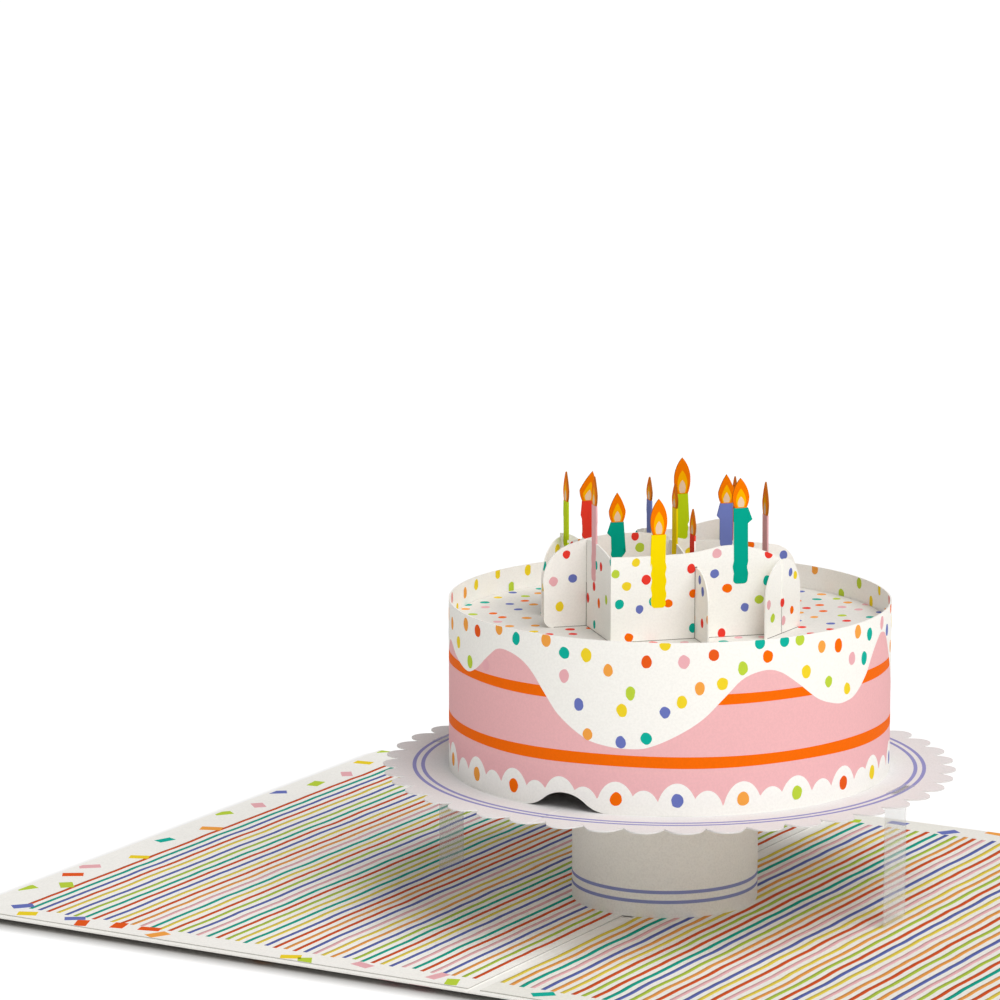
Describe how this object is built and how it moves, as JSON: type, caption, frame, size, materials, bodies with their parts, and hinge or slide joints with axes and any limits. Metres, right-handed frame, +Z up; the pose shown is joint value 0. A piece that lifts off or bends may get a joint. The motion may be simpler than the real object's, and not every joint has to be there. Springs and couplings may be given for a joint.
{
  "type": "pop up greeting card",
  "caption": "Open greeting card lying flat, with a paper birthday cake on a scalloped stand raised over its fold by slotted ribs, tabs and film struts.",
  "frame": {"origin": "middle of the open card's underside, on the fold", "axes": "+X across the panels to the right, +Y along the fold away from the reader, +Z up through the cake"},
  "size_m": [0.258, 0.1778, 0.0975],
  "materials": {
    "cover_card": "smooth uncoated white card, confetti print outside",
    "liner_left_print": "white paper printed with coloured stripes",
    "liner_right_print": "white paper printed with coloured stripes",
    "stem_print": "warm light grey card with two printed lines",
    "rib_card": "plain white card",
    "plate_print": "pinkish white card with two printed rings",
    "clear_film": "clear film",
    "drum_print": "card printed as an iced pink cake",
    "disc_print": "white card printed with coloured dots",
    "tier_front_print": "white card printed with dots and candles",
    "tier_back_print": "white card printed with dots and candles",
    "divider_front_print": "white card printed with dots and candles",
    "divider_side_print": "white card printed with dots and candles",
    "cap_print": "white card printed with coloured dots"
  },
  "bodies": {
    "root": {"card_cover": "cover_card", "liner_left": "liner_left_print", "liner_right": "liner_right_print", "stem_wall": "stem_print", "stem_rib_1": "rib_card", "stem_rib_2": "rib_card", "plate": "plate_print", "plate_strut_left": "clear_film", "plate_strut_right": "clear_film", "drum_wall": "drum_print", "drum_rib_1": "rib_card", "drum_rib_2": "rib_card", "drum_rib_3": "rib_card", "drum_rib_4": "rib_card", "drum_top": "disc_print", "tier_wall_front": "tier_front_print", "tier_wall_back": "tier_back_print", "tier_divider_front": "divider_front_print", "tier_divider_side": "divider_side_print", "tier_cap_left": "cap_print", "tier_cap_right": "cap_print"}
  },
  "joints": []
}
